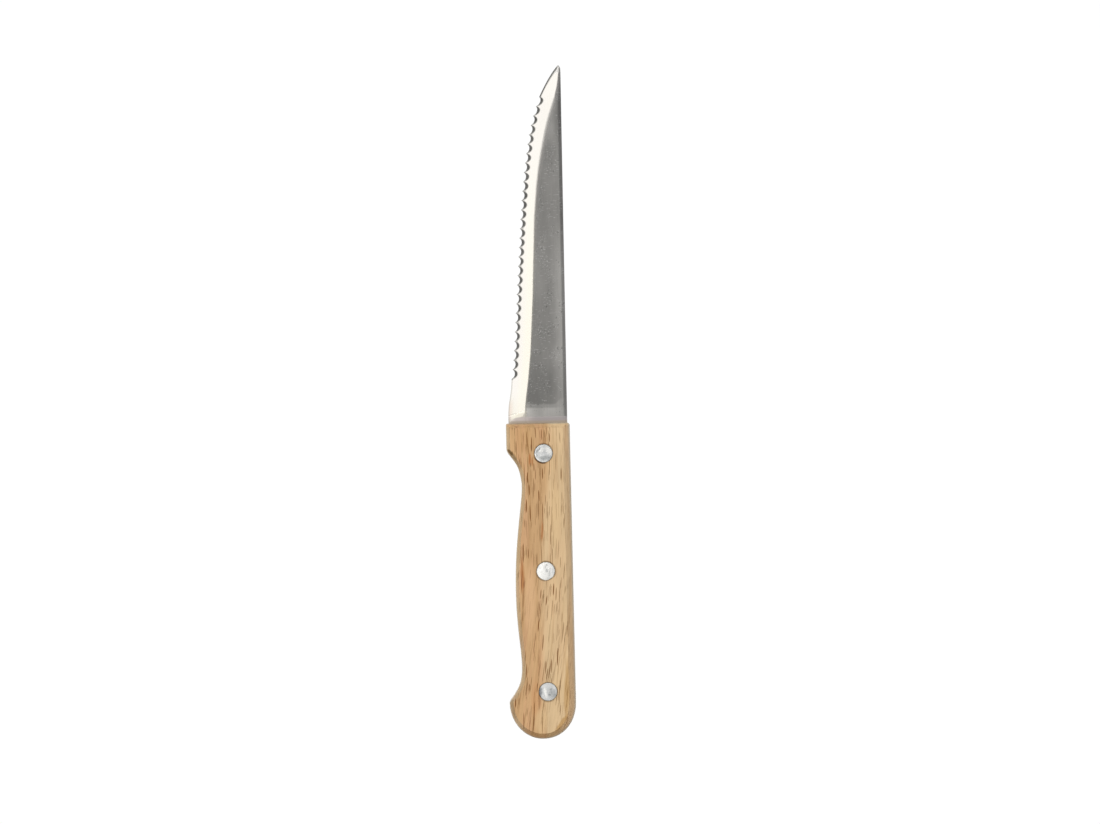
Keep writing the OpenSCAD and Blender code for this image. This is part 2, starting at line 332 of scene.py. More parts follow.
def bump(height, distance):
    """Normal of a surface that a height from 0 to 1 raises by up to a distance."""
    return feed_all(new_node("Bump", height), Height=height, Distance=distance, Strength=1.0)["Normal"]


def new_group(name, inputs, outputs):
    """An empty node group with its input and output nodes."""
    group = bpy.data.node_groups.new(name, "ShaderNodeTree")
    for direction, sockets in (("INPUT", inputs), ("OUTPUT", outputs)):
        for label, kind in sockets.items():
            group.interface.new_socket(label, in_out=direction, socket_type="NodeSocket" + kind)
    return group, group.nodes.new("NodeGroupInput"), group.nodes.new("NodeGroupOutput")


def use_group(tree, group, **values):
    """Places a node group, feeds its inputs and gives its outputs."""
    node = tree.nodes.new("ShaderNodeGroup")
    node.node_tree = group
    return feed_all(node, **values)


# Finish of the wood

WOOD_TAN = colour("#c9a275")
WOOD_PALE = colour("#d7b98f")
WOOD_BLUSH = colour("#d0a07a")
WOOD_DEEP = colour("#a87d4e")
PORE_BROWN = colour("#784818")

# Where the grain starts to lean, in millimetres along the knife, and by how much a millimetre
LEAN_PLACE = -52.0
GRAIN_LEAN = 0.12

# The slow wander of the grain: its size and its reach, in millimetres
WANDER_SIZE = (14, 42, 14)
WANDER_REACH = 3.2

# Patterns of the wood: size in millimetres, detail, and the ramp that reads them
DARK_BANDS = ((1.1, 46, 1.1), 3.0, (0.5, 0.68, 0.0, 0.3))
BLUSH_BANDS = ((1.6, 34, 1.6), 1.0, (0.5, 0.62, 0.0, 0.4))
BLUSH_BY_PALENESS = (0, 1, 1.0, 0.3)
CLOUDS = ((5, 30, 5), 1.0, (0.3, 0.7, 0.95, 1.05))
FIBRE_SIZE = (0.22, 5, 0.22)
FIBRE_LIGHT = (0.3, 0.7, 0.94, 1.05)
FIBRE_HEIGHT = 0.15
GATHERING = ((2.2, 14, 2.2), 1.0, (0.36, 0.6, 0.35, 1.0))

# Pores: size of the cells in millimetres, radius of a core as a share of its cell, lean in degrees,
# and the share of cells that are open
LONG_PORES = ((0.24, 8, 0.24), 0.44, 0.6, 0.25)
SHORT_PORES = ((0.22, 4.4, 0.22), 0.44, -0.8, 0.18)

# The share of a core's radius that is full, the range of the depths, and how dark the pores get
PORE_CORE = 0.88
PORE_DEPTHS = (0, 1, 0.5, 1.0)
SHORT_PORE_SHADE = 0.8
PORE_SHADE = 0.92


def pore_layer(place, size, radius, lean, share):
    """Short dark pores: the cores of long cells, of which only a share is open."""
    cells = feed_all(new_node("TexVoronoi", place), Vector=scaled(place, size, lean), Scale=1.0)
    core = between(cells["Distance"], radius * PORE_CORE, radius, 1.0, 0.0)
    chance, depth = split(cells["Color"])[:2]
    open_cell = arithmetic("GREATER_THAN", chance, 1 - share)
    return times(core, times(open_cell, between(depth, *PORE_DEPTHS)))


def make_wood_grain():
    """Grain of a light open-pored hardwood. Place is in millimetres, with the grain along y."""
    group, start, end = new_group(
        "wood_grain",
        {"Place": "Vector", "Pale Side": "Float", "Openness": "Float"},
        {"Color": "Color", "Pores": "Float", "Height": "Float"},
    )
    place, pale_side, openness = (start.outputs[name] for name in ("Place", "Pale Side", "Openness"))
    x, y, z = split(place)
    wander = minus(noise(place, WANDER_SIZE, 1.0), 0.5)
    bent_x = plus(x, times(wander, WANDER_REACH))
    past_lean = smaller(minus(y, LEAN_PLACE), 0.0)
    bent_x = minus(bent_x, times(past_lean, GRAIN_LEAN))
    bent = joined(bent_x, y, z)

    tone = mix_colours(pale_side, WOOD_TAN, WOOD_PALE)
    blush = times(pattern(bent, *BLUSH_BANDS), between(pale_side, *BLUSH_BY_PALENESS))
    tone = mix_colours(blush, tone, WOOD_BLUSH)
    tone = mix_colours(pattern(bent, *DARK_BANDS), tone, WOOD_DEEP)
    fibre = noise(bent, FIBRE_SIZE)
    light = times(between(fibre, *FIBRE_LIGHT), pattern(bent, *CLOUDS))
    tone = lit(tone, light)

    short_pores = times(pore_layer(bent, *SHORT_PORES), SHORT_PORE_SHADE)
    pores = larger(pore_layer(bent, *LONG_PORES), short_pores)
    pores = times(pores, times(pattern(bent, *GATHERING), openness))
    tone = mix_colours(times(pores, PORE_SHADE), tone, PORE_BROWN)
    height = minus(times(fibre, FIBRE_HEIGHT), pores)
    feed_all(end, Color=tone, Pores=pores, Height=height)
    return group


# Marks on the metal: size in millimetres, detail, and the ramp that reads them
MARK_CLUSTERS = ((4, 5, 4), 1.0, (0.46, 0.6))
SPECKS = ((0.36, 0.36, 0.36), 0.0, (0.66, 0.73))
SCRATCHES = ((1.2, 0.3, 1.2), 0.0, (0.72, 0.78, 0.0, 0.7))
FLECKS = ((0.4, 0.9, 0.4), 0.0, (0.68, 0.76))
FLECK_LEAN = 40
BRUSHING_SIZE = (0.07, 5, 0.07)
SMUDGE_SIZE = (6, 12, 6)


def make_metal_marks():
    """Marks of handling on metal. Place is in millimetres, and the brushing runs along y."""
    names = ("Specks", "Scratches", "Flecks", "Brushing", "Smudges")
    group, start, end = new_group("metal_marks", {"Place": "Vector"}, {name: "Float" for name in names})
    place = start.outputs["Place"]
    clusters = pattern(place, *MARK_CLUSTERS)
    leaning = scaled(place, (1, 1, 1), FLECK_LEAN)
    feed_all(
        end,
        Specks=times(pattern(place, *SPECKS), clusters),
        Scratches=pattern(place, *SCRATCHES),
        Flecks=times(pattern(leaning, *FLECKS), clusters),
        Brushing=noise(place, BRUSHING_SIZE),
        Smudges=noise(place, SMUDGE_SIZE),
    )
    return group


WOOD_GRAIN = make_wood_grain()
METAL_MARKS = make_metal_marks()

# A mark goes right through its piece. Its border starts at a share of its reach, and the ends of a
# crisp one narrow by a power.
MARK_DEPTH = 1000.0
SOFT_BORDER = 0.4
CRISP_BORDER = 0.7
CRISP_ENDS = 3.0


def streak(place, x, y, half_width, half_length, lean, crisp=False):
    """Mask of one long mark, in millimetres, leaning by degrees. A crisp one is shaped like a lens."""
    centred = new_node("Mapping", place)
    centred.vector_type = "TEXTURE"
    feed_all(
        centred,
        Vector=place,
        Location=(x, y, 0),
        Rotation=(0, 0, math.radians(-lean)),
        Scale=(half_width, half_length, MARK_DEPTH),
    )
    if crisp:
        across, along = split(centred.outputs[0])[:2]
        blunt = arithmetic("POWER", unsigned(along), CRISP_ENDS)
        return between(plus(unsigned(across), blunt), CRISP_BORDER, 1.0, 1.0, 0.0)
    reach = vectors("LENGTH", centred.outputs[0])["Value"]
    return between(reach, SOFT_BORDER, 1.0, 1.0, 0.0)


def draw_marks(tone, place, marks):
    """Draws marks on a tone. A mark is colour, x, y, half width, half length, lean and strength."""
    for shade, *shape, strength in marks:
        tone = mix_colours(times(streak(place, *shape), strength), tone, shade)
    return tone


# Painted shade on the rounded sides of a scale, darker where a side faces away from the light: its spine,
# the rear of its spine, its belly, butt and front, and its steep rim. The belly and the rim also get a
# painted greyish sheen.
SPINE_ARRIS_SHADE = (0.95, 0.94, 0.95, 1)
REAR_SPINE_ARRIS_SHADE = (0.84, 0.79, 0.77, 1)
BELLY_ARRIS_SHADE_AND_SHEEN = (0.76, 0.86, 0.98, 1)
BUTT_ARRIS_SHADE = (0.62, 0.56, 0.48, 1)
FRONT_ARRIS_SHADE = (0.87, 0.87, 0.87, 1)
RIM_SHADE_AND_SHEEN = (0.79, 0.9, 1.06, 1)

# Colours of the marks in the wood
RUSSET = colour("#a86a38")
APRICOT = colour("#c98f5e")
DARK_STREAK = colour("#6d4a22")
HONEY = colour("#dab185")
CREAM = colour("#dcbc8e")
OLIVE = colour("#b98f55")
UMBER = colour("#4c3218")
BRONZE = colour("#6a4718")
MAHOGANY = colour("#73391a")

# Marks on the upper scale: colour, x, y, half width, half length, lean and strength
UPPER_MARKS = [
    (RUSSET, -5.75, -55.6, 0.85, 7.2, 0, 0.75),
    (MAHOGANY, -6.05, -57.6, 0.24, 4.2, 1, 0.8),
    (MAHOGANY, -5.35, -58.6, 0.22, 2.4, 2, 0.65),
    (RUSSET, -2.6, -18.1, 0.5, 2.6, 2, 0.8),
    (RUSSET, -1.9, -19.0, 0.4, 2.0, 3, 0.7),
    (UMBER, -2.1, -14.8, 0.22, 1.7, -1, 0.6),
    (UMBER, -2.5, -20.0, 0.2, 1.0, 4, 0.5),
    (RUSSET, 0.8, -41.0, 0.45, 4.6, 1, 0.75),
    (APRICOT, -2.4, -95.0, 1.6, 8.0, 3, 0.35),
    (DARK_STREAK, 5.4, -92.6, 0.26, 5.6, 5, 0.85),
    (BRONZE, -8.9, -15.9, 0.75, 1.7, -46, 0.85),
    (BRONZE, -7.9, -17.2, 0.8, 2.1, -38, 0.45),
    (BRONZE, -6.8, -19.4, 0.55, 2.8, -26, 0.35),
    (UMBER, -9.5, -98.0, 0.8, 5.5, -11, 0.28),
    (OLIVE, -4.4, -11.6, 4.2, 6.0, 0, 0.2),
    (HONEY, -3.5, -63.3, 2.4, 15.0, 1, 0.75),
    (CREAM, 5.2, -36.2, 2.2, 14.0, 1, 0.6),
    (CREAM, -0.6, -102.2, 2.6, 6.0, 0, 0.6),
    (OLIVE, 7.7, -93.0, 1.1, 14.0, 2, 0.6),
    (OLIVE, 5.8, -102.7, 0.9, 4.2, 37, 0.75),
]

# The deepest pores of the upper scale: x, y, half length, lean and strength
PORE_HALF_WIDTH = 0.19
UPPER_PORES = [
    (-3.5, -11.9, 2.8, -1, 0.71), (-2.0, -13.4, 2.6, -1, 0.89), (1.2, -10.4, 2.0, -1, 0.71),
    (3.7, -11.4, 1.7, -1, 0.83), (-3.5, -24.1, 2.0, -1, 1.0), (-4.0, -33.1, 2.4, 0, 1.0),
    (0.0, -29.9, 2.0, -1, 1.0), (-3.0, -28.0, 2.0, -1, 0.83), (1.1, -35.4, 3.5, 0, 0.71),
    (7.2, -23.2, 2.2, 1, 0.83), (-2.9, -35.5, 2.9, -1, 0.83), (1.3, -22.9, 2.0, -1, 0.83),
    (-1.4, -20.8, 1.5, -1, 0.71), (-4.5, -22.8, 3.9, -1, 0.59), (-5.3, -48.1, 3.5, 1, 0.83),
    (-3.7, -48.3, 1.8, -1, 0.71), (4.1, -59.9, 2.2, 4, 1.0), (4.9, -61.4, 2.4, 3, 0.71),
    (1.8, -63.4, 1.8, 8, 0.89), (0.0, -61.3, 1.7, 6, 0.71), (-0.9, -71.2, 2.4, 6, 1.0),
    (-5.7, -63.1, 3.5, 2, 0.71), (0.4, -76.8, 2.9, 5, 0.83), (5.0, -81.4, 3.3, 4, 1.0),
    (1.1, -84.7, 2.4, 3, 0.71), (3.0, -84.4, 2.4, 3, 0.71), (-1.7, -91.2, 1.8, 5, 0.71),
    (-4.3, -91.1, 1.5, 4, 0.71), (-2.9, -100.4, 5.2, 3, 0.83), (-6.2, -101.8, 3.1, 1, 0.71),
    (-5.0, -85.7, 2.6, 2, 0.71), (-8.7, -95.9, 1.5, 2, 1.0), (-0.3, -103.1, 3.3, 1, 0.59),
]


# The dark line round a rivet, partly a stain and partly painted shade of the gap, in millimetres past the
# rivet's edge: where it fades and how strong it is, where its darker arcs of painted shadow fade, and how
# near to its direction an arc lies
RING_FADE = (0.05, 0.45)
RING_STRENGTH = 0.38
ARC_FADE = (0.3, 0.6)
ARC_SPREAD = (0.55, 0.95)


def ring_stain_and_shade(place, rivets):
    """Mask of the dark line round each rivet in the wood, partly a stain and partly painted shade, all in
    millimetres.

    A rivet is x, y, radius and the arcs of its line that are darker, which are painted shadow: direction
    in degrees and strength.
    """
    x, y = split(place)[:2]
    stain_and_shade = 0.0
    for rivet_x, rivet_y, radius, arcs in rivets:
        off_x = minus(x, rivet_x)
        off_y = minus(y, rivet_y)
        reach = vectors("LENGTH", joined(off_x, off_y, 0.0))["Value"]
        ring = between(reach, *(radius + past for past in RING_FADE), RING_STRENGTH, 0.0)
        fade = between(reach, *(radius + past for past in ARC_FADE), 1.0, 0.0)
        for direction, strength in arcs:
            angle = math.radians(direction)
            towards = plus(times(off_x, math.cos(angle)), times(off_y, math.sin(angle)))
            arc = between(over(towards, reach), *ARC_SPREAD, 0.0, strength)
            ring = larger(ring, times(arc, fade))
        stain_and_shade = larger(stain_and_shade, ring)
    return stain_and_shade


def facing(tree):
    """Where the surface faces: in plan, to the spine and to the front, and how squarely up or down."""
    across, along, up = split(tree.nodes.new("ShaderNodeNewGeometry").outputs["Normal"])
    plan = vectors("NORMALIZE", joined(across, along, 0.0))["Vector"]
    across, along = split(plan)[:2]
    return across, along, unsigned(up)


# The paler side of a scale, in millimetres: where it starts across the handle, from the butt to the
# front, the wobble of that line, and how softly it starts
PALE_START = (-62.0, -12.0, 0.2, 3.3)
PALE_WOBBLE_SIZE = (3, 30, 3)
PALE_WOBBLE = 3.0
PALE_FADE = (0.2, 2.8)

# How open the pores are, by how squarely a surface faces up or down
OPENNESS = [(0, 1), (0.3, 1), (0.5, 0.3), (0.85, 0.3), (0.96, 0.95), (1, 1)]

# Where the painted shade on the rounded arris and the painted shade and sheen on the steeper rim show, by
# how squarely a surface faces up or down, and where along the handle the painted shade of the spine
# changes
ARRIS = (0.95, 0.99, 1.0, 0.0)
RIM = (0.5, 0.8, 1.0, 0.0)
REAR_SPINE = (-76, -58)

# How far a side has to face one way to get its painted shade
FACING_SPINE = (0.2, 0.8)
FACING_BELLY = (-0.8, -0.2, 1.0, 0.0)
FACING_BUTT = (-1.0, -0.5, 1.0, 0.0)
FACING_FRONT = (0.5, 1.0)

# The size and reach of the wander of a mark's border, in millimetres, and the wood's surface
MARK_WANDER = ((0.8, 6, 0.8), 1.0)
WOOD_ROUGHNESS = (0, 1, 0.46, 0.7)
WOOD_GLOSS = 0.35
GRAIN_HEIGHT = 0.08 * MM

# The lower scale is cut from another place in the wood
LOWER_SHIFT = (31, 17, 5)


def oiled_wood(name, shift, rivets, marks=(), pores=()):
    """Material of a scale: pores and bands along the handle, paler towards the spine, with painted shade
    and sheen on its rounded sides and rim.
    """
    material, tree, surface = new_material(name)
    place = millimetres(tree)
    x, y = split(place)[:2]
    wobble = times(noise(place, PALE_WOBBLE_SIZE), PALE_WOBBLE)
    past_start = plus(minus(x, between(y, *PALE_START)), wobble)
    across, along, up = facing(tree)
    grain = use_group(
        tree, WOOD_GRAIN,
        Place=millimetres(tree, shift),
        Openness=profile(up, OPENNESS),
        Pale_Side=between(past_start, *PALE_FADE),
    )
    tone = draw_marks(grain["Color"], wandering(place, *MARK_WANDER), marks)
    deep = 0.0
    for pore_x, pore_y, half_length, lean, strength in pores:
        mask = streak(place, pore_x, pore_y, PORE_HALF_WIDTH, half_length, lean, crisp=True)
        deep = larger(deep, times(mask, strength))
    tone = mix_colours(deep, tone, PORE_BROWN)
    arris = between(up, *ARRIS)
    spine_shade = mix_colours(between(y, *REAR_SPINE), REAR_SPINE_ARRIS_SHADE, SPINE_ARRIS_SHADE)
    sides = (
        (across, FACING_SPINE, spine_shade),
        (across, FACING_BELLY, BELLY_ARRIS_SHADE_AND_SHEEN),
        (along, FACING_BUTT, BUTT_ARRIS_SHADE),
        (along, FACING_FRONT, FRONT_ARRIS_SHADE),
    )
    # Painted shade on each arris, by the way that it faces
    for way, ramp, tint in sides:
        tone = tinted(times(arris, between(way, *ramp)), tone, tint)
    # Painted shade and greyish sheen on the steep rim
    tone = tinted(between(up, *RIM), tone, RIM_SHADE_AND_SHEEN)
    # The dark line round each rivet: partly a stain, partly painted shade, darker in painted arcs of
    # shadow
    feed_all(
        surface,
        Base_Color=mix_colours(ring_stain_and_shade(place, rivets), tone, UMBER),
        Roughness=between(grain["Pores"], *WOOD_ROUGHNESS),
        Specular_IOR_Level=WOOD_GLOSS,
        Normal=bump(grain["Height"], GRAIN_HEIGHT),
    )
    return material


# Finish of the steel, with painted sheen, reflection and shade

FLAT_STEEL = colour("#e0deda")
SPECK_STEEL = colour("#f4f4f3")
FLECK_STEEL = colour("#6e6d6a")
BEVEL_STEEL = colour("#e6e3e0")
WARM_BEVEL = colour("#eae6dc")
HANDLE_BEVEL = colour("#e2dfd5")
BEVEL_BORDER = colour("#dccfc6")
RUN_OUT_STEEL = colour("#f8f4e5")
CORNER_STEEL = colour("#d2cec3")
DULL_STEEL = colour("#b8b5ab")
GRIND_SHADE = colour("#8a8985")
PALE_STEEL = colour("#ebe1db")
MAUVE_STEEL = colour("#cfc6c2")
TAUPE_STEEL = colour("#a6a0a1")
WOOD_REFLECTION = colour("#ab9d8a")

# Places on the blade are in millimetres: x across and y along it from the middle of the knife, and
# distances from its three lines. A ramp goes from one place to the next, and from one value to the
# next if not from 0 to 1.

# The shoulder between flat and bevel: how soft it is along the blade and by the handle, how far it
# lies from the line of the solid, and where in that softness the satin starts and is full
SHOULDER_BLUR = (10.0, 100.0, 0.22, 1.5)
SHOULDER_BLUR_BY_HANDLE = (-2.0, 6.0, 0.33, 0.0)
SHOULDER_SHIFT = 0.18
SATIN_RAMP = (-0.4, 1.0)

# Painted brightness of the flat's reflection along the blade, as rows of a place and a share of the
# brightest
FLAT_DUSK = [
    (-3, 0.5), (0, 0.5), (6, 0.53), (14, 0.59), (26, 0.61),
    (39, 0.68), (52, 0.65), (78, 0.64), (108, 0.56),
]

# Painted sheen of the flat by the shoulder, by the spine and where the flat runs out to the tip, and
# painted shade on the eased spine
SHOULDER_SHEEN = (0.5, 4.0, 0.99, 1.0)
SPINE_SHEEN = (0.6, 5.5, 1.0, 0.0)
SPINE_SHEEN_ALONG = (20, 62, 0.7, 0.1)
SPINE_EASE_SHADE = (0.7, 1.0, 0.84, 1.0)
TIP_SHEEN = (1.0, 3.5, 0.8, 1.36)
TIP_SHEEN_ALONG = (80, 90)
FLAT_MOTTLE = (0.3, 0.7, 0.92, 1.08)
FLAT_LUSTRE = ((0.5, 9, 0.5), 2.0, (0.3, 0.7, 0.97, 1.03))
FLECK_SHADE = 0.5
SPECK_SHADES = (0.7, 0.15)

# The pale band before the handle is a layer that ends at a swaying line and one that ends at a
# straight line. The first sways to the tip by shares of a reach, and the band is palest by the edge.
SWAYING_END = (-2.0, -1.2, 0.45, 0.0)
STRAIGHT_END = (-2.3, -1.5, 0.55, 0.0)
BAND_REACH = 2.6
BAND_SWAY = [(-4.2, 0.5), (-2.8, 0.45), (-0.6, 0.35), (1.4, 0.35), (6.0, 0.4), (7.4, 0.95), (9, 1.0)]
BAND_PALENESS = (-4.4, 0.6, 1.34, 1.0)

# Colour of the bevel: its warmth by the shoulder, its duller tone by the handle and its border on the heel
BEVEL_WARMTH = (-4.0, -1.0)
BEVEL_WARMTH_ALONG = (30, 85, 1.0, 0.2)
HANDLE_TONE_ACROSS = (-5.0, -1.6, 1.0, 0.35)
HANDLE_TONE_ALONG = (-4.5, 5.0, 1.0, 0.0)
BORDER = (0.4, 1.9, 0.8, 0.0)
BORDER_ALONG = (-2.0, 2.0, 1.0, 0.0)

# The dark line at the edge, painted shade of the edge's facet: where it starts, and how far it reaches and
# how strong it is on the heel, along the scallops and at the tip
EDGE_START = 0.05
SCALLOPS_ALONG = (6.5, 8.5)
TIP_ALONG = (100, 106)
EDGE_REACHES = (0.6, 0.34, 0.62)
EDGE_SHADES = (0.45, 0.6, 1.0)

# Where the bevel falls away before the handle: a line that leans by so much a millimetre across. There the
# steel is made matte and painted pale, standing in for the bevel's bright reflection.
RUN_OUT_START = -1.45
RUN_OUT_LEAN = 0.31
RUN_OUT_FADE = (-0.25, 0.25, 1.0, 0.0)
RUN_OUT_SIDE = (-3.7, -3.2, 1.0, 0.0)

# Where the bevel ends before the handle: the line that it ends at, across the blade, as shares of a
# depth from a start, the side of the dull corner by the flat, and where the matte strip ends there
BEVEL_END = [
    (-9.2, 1.0), (-8.3, 0.72), (-7.4, 0.53), (-6.4, 0.44), (-5.2, 0.38), (-4.6, 0.28), (-4.2, 0),
]
BEVEL_END_START = -3.5
BEVEL_END_DEPTH = -3.2
BEVEL_END_FADE = (-0.2, 0.2, 1.0, 0.0)
CORNER_SIDE = (-4.2, -3.75)
STRIP_END = -4.7
STRIP_FADE = (-0.35, 0.3, 1.0, 0.0)

# Colours of the matte strip: from pale to mauve and from mauve to taupe across it, and the painted warm
# reflection of the wood
STRIP_MAUVE = (-8.8, -6.6)
STRIP_TAUPE = (-6.0, 0.0)
WOOD_REFLECTION_ALONG = (-6.3, -5.6, 0.75, 0.0)

# Where the bevel starts to fall away to the tip, where it does so fully, how far from the spine that is,
# and how matte it gets. Made matte, the tip shows its pale colour as painted brightness where its tilted
# faces would mirror dark.
TIP_FALL = (104.9, 105.3)
TIP_BORDER = (0.45, 0.7)
TIP_MATTE = 0.8

# How metallic the matte places are, and how rough and finely brushed the steel is
MATTE_METALLIC = 0.15
SATIN_ROUGHNESS = (0.3, 0.7, 0.3, 0.4)
BEVEL_ROUGHNESS = 0.16
BRUSHING_HEIGHT = 0.004 * MM


def blade_places(tree, place):
    """Where a point of the blade lies, in millimetres: across, along, and from the blade's lines."""
    at = dict(zip("xy", split(place)))
    for name in ("past_shoulder", "short_of_spine", "past_edge"):
        reading = tree.nodes.new("ShaderNodeAttribute")
        reading.attribute_name = name
        at[name] = reading.outputs["Fac"]
    return at


def satin_flat(place, at, marks):
    """Colour of the blade's flat: brushed and scuffed, with painted sheen and shade along it, and a paler
    band before the handle.
    """
    # Painted sheen and shade of the flat's reflection, along it and by the spine, shoulder and tip
    sheen = between(at["y"], *SPINE_SHEEN_ALONG)
    by_spine = times(between(at["short_of_spine"], *SPINE_SHEEN), sheen)
    by_shoulder = between(at["past_shoulder"], *SHOULDER_SHEEN)
    light = times(profile(at["y"], FLAT_DUSK), plus(by_spine, by_shoulder))
    by_tip = times(light, between(at["short_of_spine"], *TIP_SHEEN))
    light = mix_numbers(between(at["y"], *TIP_SHEEN_ALONG), light, by_tip)
    sway = times(profile(at["x"], BAND_SWAY), -BAND_REACH)
    swaying = between(plus(at["y"], sway), *SWAYING_END)
    band = arithmetic("ADD", swaying, between(at["y"], *STRAIGHT_END), clamped=True)
    light = mix_numbers(band, light, between(at["x"], *BAND_PALENESS))
    # Painted shade on the eased spine
    ease = between(at["short_of_spine"], *SPINE_EASE_SHADE)
    mottle = between(marks["Smudges"], *FLAT_MOTTLE)
    for share in (ease, mottle, pattern(place, *FLAT_LUSTRE)):
        light = times(light, share)
    flat = lit(FLAT_STEEL, light)
    flat = mix_colours(times(marks["Flecks"], FLECK_SHADE), flat, FLECK_STEEL)
    specks = larger(marks["Specks"], marks["Scratches"])
    specks = times(specks, between(band, 0, 1, *SPECK_SHADES))
    return mix_colours(specks, flat, SPECK_STEEL)


def run_out(at):
    """Mask of the part of the bevel that falls away before the handle."""
    line = plus(times(at["x"], RUN_OUT_LEAN), RUN_OUT_START)
    below = between(minus(at["y"], line), *RUN_OUT_FADE)
    return times(below, between(at["x"], *RUN_OUT_SIDE))


def ground_bevel(at, fall):
    """Colour of the bevel: warm by the shoulder, duller by the handle, painted pale where it falls away
    and painted dark along the edge.
    """
    y, past, off_edge = (at[name] for name in ("y", "past_shoulder", "past_edge"))
    warmth = times(between(past, *BEVEL_WARMTH), between(y, *BEVEL_WARMTH_ALONG))
    bevel = mix_colours(warmth, BEVEL_STEEL, WARM_BEVEL)
    handle_tone = times(between(y, *HANDLE_TONE_ALONG), between(past, *HANDLE_TONE_ACROSS))
    bevel = mix_colours(handle_tone, bevel, HANDLE_BEVEL)
    border = times(between(off_edge, *BORDER), between(y, *BORDER_ALONG))
    bevel = mix_colours(border, bevel, BEVEL_BORDER)
    # Painted brightness where the bevel falls away
    bevel = mix_colours(times(fall, minus(1.0, border)), bevel, RUN_OUT_STEEL)
    past_heel = between(y, *SCALLOPS_ALONG)
    reach, shade = (mix_numbers(past_heel, heel, between(y, *TIP_ALONG, scallops, tip))
                    for heel, scallops, tip in (EDGE_REACHES, EDGE_SHADES))
    # Painted shade along the edge
    by_edge = between(off_edge, EDGE_START, reach, 1.0, 0.0)
    return mix_colours(times(by_edge, shade), bevel, GRIND_SHADE)


def bevel_end(at):
    """Place along the blade of the line that the bevel ends at."""
    return plus(times(profile(at["x"], BEVEL_END), BEVEL_END_DEPTH), BEVEL_END_START)


def falling_end(at, bevel, end):
    """Colour of the part that falls away before the handle, made matte: painted bevel brightness up to its
    end, then a dull corner.
    """
    past_corner = between(at["x"], *CORNER_SIDE)
    corner = mix_colours(past_corner, CORNER_STEEL, DULL_STEEL)
    off_bevel = between(minus(at["y"], end), *BEVEL_END_FADE)
    return mix_colours(larger(off_bevel, past_corner), bevel, corner)


def matte_strip(at, end):
    """Mask and colour of the matte strip along the handle's front, with the wood's painted reflection next
    to the handle.
    """
    mask = between(minus(at["y"], smaller(end, STRIP_END)), *STRIP_FADE)
    shade = mix_colours(between(at["x"], *STRIP_MAUVE), PALE_STEEL, MAUVE_STEEL)
    shade = mix_colours(between(at["x"], *STRIP_TAUPE), shade, TAUPE_STEEL)
    # Painted reflection of the wood in the steel by the handle
    shade = mix_colours(between(at["y"], *WOOD_REFLECTION_ALONG), shade, WOOD_REFLECTION)
    return mask, shade


def satin_blade():
    """Material of the blade: satin flat, bright bevel, and a matte strip in front of the handle."""
    material, tree, surface = new_material("satin_blade")
    place = millimetres(tree)
    at = blade_places(tree, place)
    marks = use_group(tree, METAL_MARKS, Place=place)
    blur = plus(between(at["y"], *SHOULDER_BLUR), between(at["y"], *SHOULDER_BLUR_BY_HANDLE))
    past_shoulder = minus(at["past_shoulder"], SHOULDER_SHIFT)
    satin = between(over(past_shoulder, blur), *SATIN_RAMP)
    fall, end = run_out(at), bevel_end(at)
    bevel = ground_bevel(at, fall)
    steel = mix_colours(satin, bevel, satin_flat(place, at, marks))
    steel = mix_colours(fall, steel, falling_end(at, bevel, end))
    strip, strip_steel = matte_strip(at, end)

    # The tip made matte, so that its pale colour stands for painted brightness
    off_spine = between(at["short_of_spine"], *TIP_BORDER)
    tip = times(between(at["y"], *TIP_FALL, 0, TIP_MATTE), off_spine)
    matte = larger(tip, larger(strip, fall))
    brushed = minus(between(marks["Brushing"], *SATIN_ROUGHNESS), BEVEL_ROUGHNESS)
    feed_all(
        surface,
        Base_Color=mix_colours(strip, steel, strip_steel),
        Metallic=between(matte, 0, 1, 1.0, MATTE_METALLIC),
        Roughness=plus(times(satin, brushed), BEVEL_ROUGHNESS),
        Normal=bump(times(marks["Brushing"], satin), BRUSHING_HEIGHT),
    )
    return material


# The ground scallops, whose steel is painted dark for the shade on their tilted faces
GRIND_SMUDGES = 0.35
GRIND_ROUGHNESS = (0.3, 0.7, 0.3, 0.42)


def ground_scallops():
    """Material of the scallops and the edge, painted dark for the shade on their tilted faces."""
    material, tree, surface = new_material("ground_scallops")
    marks = use_group(tree, METAL_MARKS, Place=millimetres(tree))
    smudges = times(marks["Smudges"], GRIND_SMUDGES)
    feed_all(
        surface,
        Base_Color=mix_colours(smudges, GRIND_SHADE, FLAT_STEEL),
        Metallic=1.0,
        Roughness=between(marks["Brushing"], *GRIND_ROUGHNESS),
    )
    return material


# The tang's narrow sides
TANG_DARK = colour("#a9a6a1")
TANG_PALE = colour("#c9c7c2")
TANG_LINE_SIZE = (0.3, 0.08, 3)
TANG_LINE_HEIGHT = 0.01 * MM
TANG_ROUGHNESS = (0.3, 0.7, 0.28, 0.45)


def tang_steel():
    """Material of the tang's narrow sides, ground flush with the wood."""
    material, tree, surface = new_material("tang_steel")
    lines = noise(millimetres(tree), TANG_LINE_SIZE)
    feed_all(
        surface,
        Base_Color=mix_colours(between(lines, *NOISE_RANGE), TANG_DARK, TANG_PALE),
        Metallic=1.0,
        Roughness=between(lines, *TANG_ROUGHNESS),
        Normal=bump(lines, TANG_LINE_HEIGHT),
    )
    return material
